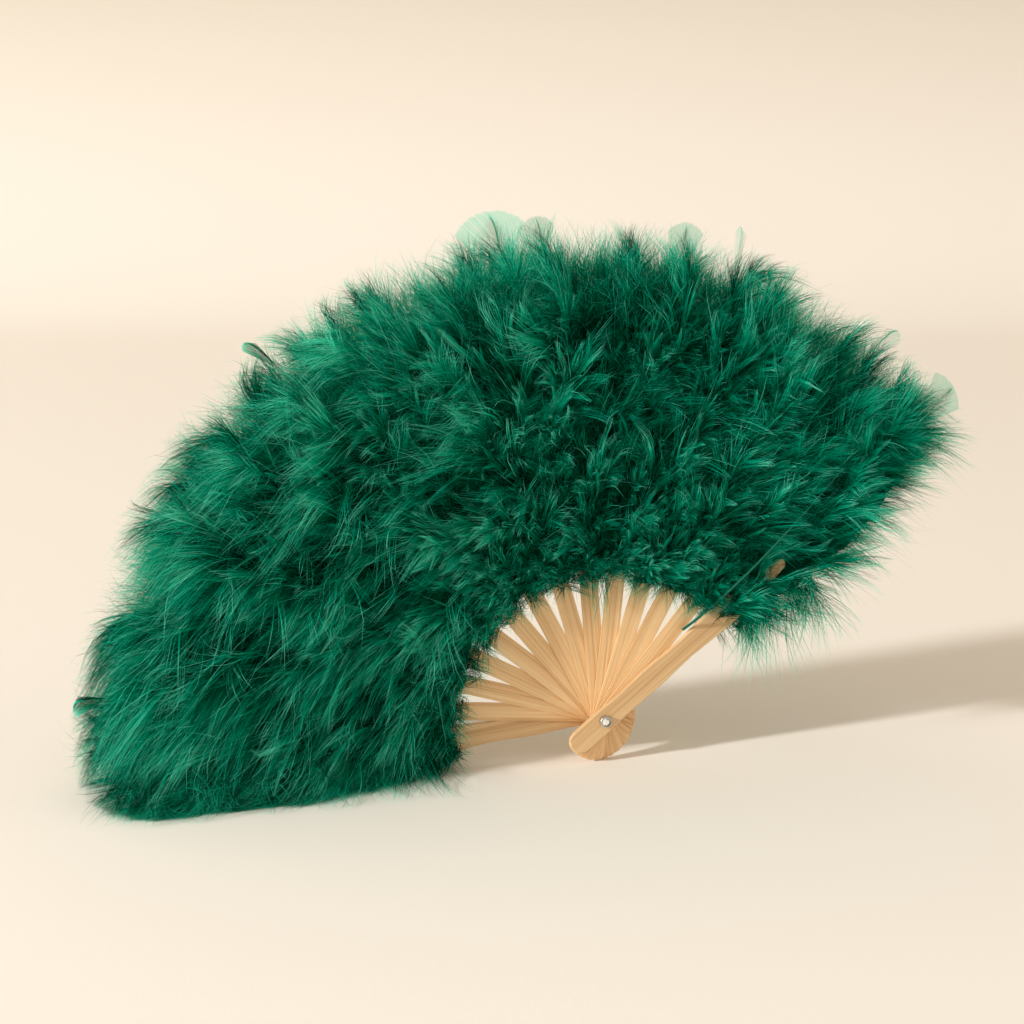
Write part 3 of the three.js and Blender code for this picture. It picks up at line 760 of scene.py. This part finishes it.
def vane_barbs(k, lane, end, length, spread, twist, curl, rng):
    """A sheer sheet of fine barbs that leave a short shaft and end on one arc."""
    angle = math.radians(lane) - stick_angle(k)
    outward = np.array([math.cos(angle), 0.0, math.sin(angle)])
    across = np.array([-math.sin(angle), 0.0, math.cos(angle)])
    across = math.cos(twist) * across + math.sin(twist) * OFF
    dense = length < DENSE_BELOW
    barbs = int(2 * math.radians(spread) * length / (DENSE_PITCH if dense else SHEER_PITCH))
    share = np.linspace(-1, 1, barbs)
    turn = np.radians(spread) * share
    base = (end - length) * outward + 0.5 * shell(end - length, k) * OFF
    tip_length = length * (1 - 0.1 * share ** 2) * rng.uniform(0.97, 1.0, barbs)
    tip = base + tip_length[:, None] * (np.cos(turn)[:, None] * outward + np.sin(turn)[:, None] * across)
    tip = tip + (curl * length) * across
    at = base + (length * (0.1 + 0.75 * (1 - np.abs(share))))[:, None] * outward
    way = tip - at
    span = np.linalg.norm(way, axis=1)
    heading = way / span[:, None]
    bend = np.zeros((barbs, 3)) + 0.04 * across * np.sign(share)[:, None]
    face = np.tile(np.cross(outward, across), (barbs, 1))
    tone = np.clip((0.5 if dense else 0.95) + rng.normal(0, 0.06, barbs), 0, 0.99)
    return at, heading - bend, bend, face, span, np.full(barbs, VANE_BARB_WIDTH), tone


# The hollow in the down around the front guard's tip: along and across the guard, and its half widths.
# It reaches over the last few sticks.
HOLLOW_AT, HOLLOW_HALF, HOLLOW_STICKS = (0.114, 0.009), (0.013, 0.024), 3


def laid_flat(k, x, w):
    """How far the down around the front guard's tip is pressed flat, as a share of its height."""
    turn = stick_angle(k) - stick_angle(STICKS - 1)
    ahead = x * math.cos(turn) - w * math.sin(turn) - HOLLOW_AT[0]
    aside = x * math.sin(turn) + w * math.cos(turn) - HOLLOW_AT[1]
    near = (0.87 * ahead + 0.5 * aside) / HOLLOW_HALF[0], (0.87 * aside - 0.5 * ahead) / HOLLOW_HALF[1]
    return 1 - 0.9 * np.exp(-near[0] ** 2 - near[1] ** 2)


# How far a point off the fan seems to move right and up, seen as the photograph was taken, for each metre.
VIEW_SLIP = (0.315, -0.213)
# The bare part of the guard, with a slanting end, and its tip: along and across the guard.
BARE_HALF, BARE_END, BARE_SLANT = 0.0075, 0.070, 1.45
TIP_AT, TIP_HALF = (0.1180, -0.0018), (0.0080, 0.0040)
PARTED_STICKS = 4


def parted(k, rng, at, heading, bend, face, length, *rest):
    """Leave out barbs that would hide the bare part of the front guard or its tip."""
    keep = np.ones(len(at), dtype=bool)
    loose = rng.uniform(0.6, 1.3, len(at))
    turn = stick_angle(k) - stick_angle(STICKS - 1)
    for s in (0.0, 0.3, 0.6, 0.85, 1.0):
        spot = at + length[:, None] * (s * heading + s * s * bend)
        angle = np.arctan2(spot[:, 2], spot[:, 0]) + turn
        r = np.hypot(spot[:, 0], spot[:, 2])
        height = spot[:, 1] * laid_flat(k, spot[:, 0], spot[:, 2])
        guard = stick_angle(STICKS - 1)
        along = VIEW_SLIP[0] * math.cos(guard) + VIEW_SLIP[1] * math.sin(guard)
        aside = -VIEW_SLIP[0] * math.sin(guard) + VIEW_SLIP[1] * math.cos(guard)
        x, w = r * np.cos(angle) + height * along, r * np.sin(angle) + height * aside
        bare = (np.abs(w) < BARE_HALF) & (x < BARE_END + BARE_SLANT * (0.8 * BARE_HALF - w))
        tip = ((x - TIP_AT[0]) / TIP_HALF[0]) ** 2 + ((w - TIP_AT[1]) / TIP_HALF[1]) ** 2 < loose
        keep &= ~(bare | tip)
    keep |= rng.uniform(size=len(at)) < 0.02
    return [part[keep] for part in (at, heading, bend, face, length, *rest)]


# Soft limits: a limit, and how far what goes past it still reaches. They hold the height over the stick,
# the way outwards, the way to the front or back with a wavy brim, and the half width of the fan.
SHELL_LIMIT, SHELL_GIVE, EDGE_LIMIT, EDGE_GIVE = 0.036, 0.009, 0.004, 0.015
BRIM, BRIM_WAVE, BRIM_GIVE, SIDE_LIMIT, SIDE_GIVE = 0.037, 0.0025, 0.008, 0.226, 0.011
# At the floor the brim is tucked in, and less so above it.
TUCK, TUCK_RISE = 0.009, 0.012


def to_fan(points, k, facing, spare=0.0):
    """From a stick's own axes to the row frame, with what reaches the floor heaped up on it."""
    r = np.hypot(points[:, 0], points[:, 2])
    scale = soft_limit(r, reach(k) - EDGE_LIMIT + spare, EDGE_GIVE) / np.maximum(r, 1e-6)
    x, w = points[:, 0] * scale, points[:, 2] * scale
    h = soft_limit(points[:, 1], SHELL_LIMIT + 0.7 * spare, SHELL_GIVE)
    angle = stick_angle(k)
    if facing < 0 and k >= STICKS - HOLLOW_STICKS:
        h = h * laid_flat(k, x, w)
    low, high = (np.array(corner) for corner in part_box(stick_name(k)))
    seat = high[1] if facing > 0 else low[1]
    z = pivot[2] + x * math.sin(angle) + w * math.cos(angle)
    low_share = np.minimum(z - HEAP, 0) / HEAP
    brim = BRIM + BRIM_WAVE * (np.sin(190 * x - 80 * w) + np.sin(83 * x + 1.0))
    brim = brim + (0.13 * spare if spare else -TUCK * np.exp(-np.maximum(z, 0) / TUCK_RISE))
    y = facing * soft_limit(facing * (seat + facing * h) - 0.2 * HEAP * low_share, brim, BRIM_GIVE)
    z = np.where(z < HEAP, FLOOR + (HEAP - FLOOR) * np.exp(low_share), z)
    x = pivot[0] + x * math.cos(angle) - w * math.sin(angle)
    return np.stack([np.sign(x) * soft_limit(np.abs(x), SIDE_LIMIT, SIDE_GIVE), y, z], axis=-1)


# How much further than the rest the locks at the hem and the vanes reach.
LOOSE_SPARE = 0.018
HANGING_STICKS = 5


def make_plume(k, facing):
    """The down on one side of a stick. Each group of barbs comes with its number of steps along a barb."""
    rng = np.random.default_rng(100 + 2 * k + (facing > 0))
    shafts = plume_shafts(k, rng)
    groups = [(lock_barbs(k, shafts, rng), 5), (fuzz_barbs(k, shafts, rng), 3), (rim_barbs(k, rng), 3),
              (stray_barbs(k, shafts, rng), 4), (collar_tufts(k, rng), 3), (edge_tufts(k, rng), 3)]
    if k == STICKS - 1:
        groups.append((fringe_tufts(rng), 4))
    if k < HANGING_STICKS:
        groups.append((hanging_tufts(k, rng), 5))
    if facing < 0 and k >= STICKS - PARTED_STICKS:
        groups = [(parted(k, rng, *group), steps) for group, steps in groups]
    parts = [ribbons(*group, steps=steps) for group, steps in groups] + [dark_shade_core(k, facing, rng)]
    soft = sum(len(part[0]) for part in parts)
    if k == 0:
        parts.append(ribbons(*hem_tufts(rng)))
    for stick, side, *shape in VANES:
        if stick == k and side == facing:
            parts.append(ribbons(*vane_barbs(k, *shape, rng), blunt=0.7))
    points, quads, places = joined(parts)
    points = np.concatenate([to_fan(points[:soft], k, facing), to_fan(points[soft:], k, facing, LOOSE_SPARE)])
    mesh = bpy.data.meshes.new("down")
    mesh.vertices.add(len(points))
    mesh.vertices.foreach_set("co", points.astype(np.float32).ravel())
    mesh.loops.add(quads.size)
    mesh.loops.foreach_set("vertex_index", quads.astype(np.int32).ravel())
    mesh.polygons.add(len(quads))
    mesh.polygons.foreach_set("loop_start", np.arange(0, quads.size, 4, dtype=np.int32))
    mesh.uv_layers.new(name="OFBake").data.foreach_set("uv", places[quads.ravel()].astype(np.float32).ravel())
    mesh.update(calc_edges=True)
    mesh.polygons.foreach_set("use_smooth", np.ones(len(quads), dtype=bool))
    mesh.materials.append(emerald)
    end = "rear" if facing > 0 else "front"
    piece = bpy.data.objects.new(f"{end}_down_{k:02d}", mesh)
    bpy.context.scene.collection.objects.link(piece)
    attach(piece, stick_name(k))
    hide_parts(f"{end}_plume_{k:02d}")
    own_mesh(piece)


for k in range(STICKS):
    for facing in (-1, 1):
        make_plume(k, facing)

# Stage
# A pale floor that curves up into a wall, soft warm light from the upper left and a long lens, as the
# photograph was taken.
LENS, SENSOR, AZIMUTH, ELEVATION, DISTANCE = 104.0, 36.0, math.radians(-17.5), math.radians(11.5), 1.48
# Where the rivet is in the photograph, and the photograph's width and height.
RIVET_PIXEL, FRAME_PIXELS = (605, 721), 1024
CURVE, BACK, FRONT, TOP, HALF_WIDTH, UNDER = 0.6, 1.5, -4.0, 4.0, 6.0, 0.0002
depths = [(FRONT, 0.0), (BACK, 0.0)]
for slope in np.linspace(0, math.pi / 2, 17)[1:]:
    depths.append((BACK + CURVE * math.sin(slope), CURVE * (1 - math.cos(slope))))
depths.append((BACK + CURVE, TOP))
corners = []
for far, up in depths:
    for along in (-HALF_WIDTH, HALF_WIDTH):
        x = along * math.cos(AZIMUTH) - far * math.sin(AZIMUTH)
        y = along * math.sin(AZIMUTH) + far * math.cos(AZIMUTH)
        corners.append((x, y, up - UNDER))
sheets = [(2 * i, 2 * i + 1, 2 * i + 3, 2 * i + 2) for i in range(len(depths) - 1)]
# The plaster darkens from the floor up to WALL_HEIGHT, partly the wall's tan and partly painted shade on the
# wall.
FLOOR_COLOUR, WALL_TAN_AND_SHADE, WALL_HEIGHT = (0.985, 0.965, 0.925), (0.43, 0.345, 0.245), 0.6
plaster, tree, shader = new_material("plaster")
place = tree.nodes.new("ShaderNodeTexCoord")
height = tree.nodes.new("ShaderNodeSeparateXYZ")
tree.links.new(place.outputs["Object"], height.inputs["Vector"])
add_ramp(tree, height.outputs["Z"], shader, FLOOR_COLOUR, WALL_TAN_AND_SHADE, end=WALL_HEIGHT)
shader.inputs["Roughness"].default_value = 0.85
grit = tree.nodes.new("ShaderNodeTexNoise")
grit.inputs["Scale"].default_value = 900
grit.inputs["Detail"].default_value = 4
tree.links.new(place.outputs["Object"], grit.inputs["Vector"])
add_bump(tree, grit.outputs["Fac"], shader, strength=0.12, distance=0.0006)
floor = new_piece("floor", corners, sheets, plaster, smooth=True)

world = bpy.data.worlds.new("studio")
bpy.context.scene.world = world
world.use_nodes = True
sky = world.node_tree.nodes["Background"]
sky.inputs["Color"].default_value = (1.0, 0.87, 0.72, 1)
sky.inputs["Strength"].default_value = 0.62


def lamp(name, place, aim, size, power, colour):
    light = bpy.data.lights.new(name, "AREA")
    light.shape = "DISK"
    light.size = size
    light.energy = power
    light.color = colour
    holder = bpy.data.objects.new(name, light)
    bpy.context.scene.collection.objects.link(holder)
    holder.location = place
    way = np.array(aim) - np.array(place)
    yaw = math.atan2(way[1], way[0]) - math.pi / 2
    tilt = math.pi / 2 + math.atan2(way[2], math.hypot(way[0], way[1]))
    holder.rotation_euler = (tilt, 0, yaw)


lamp("key", place=(-6.1, -1.75, 2.5), aim=(0, 0, 0.1), size=0.65, power=465, colour=(1.0, 0.97, 0.92))

camera_data = bpy.data.cameras.new("camera")
camera_data.lens = LENS
camera_data.sensor_width = SENSOR
camera_data.clip_start = 0.05
camera = bpy.data.objects.new("camera", camera_data)
bpy.context.scene.collection.objects.link(camera)
camera.rotation_euler = (math.pi / 2 - ELEVATION, 0, AZIMUTH)
look = camera.rotation_euler.to_matrix()
focal = LENS / SENSOR * FRAME_PIXELS
anchor = np.array([pivot[0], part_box("front_guard")[0][1], pivot[2]])
aside, down = (pixel - FRAME_PIXELS / 2 for pixel in RIVET_PIXEL)
ray = np.array(look) @ np.array([aside / focal, -down / focal, -1])
camera.location = tuple(anchor - DISTANCE * ray)
bpy.context.scene.camera = camera
bpy.context.scene.view_settings.view_transform = "Standard"
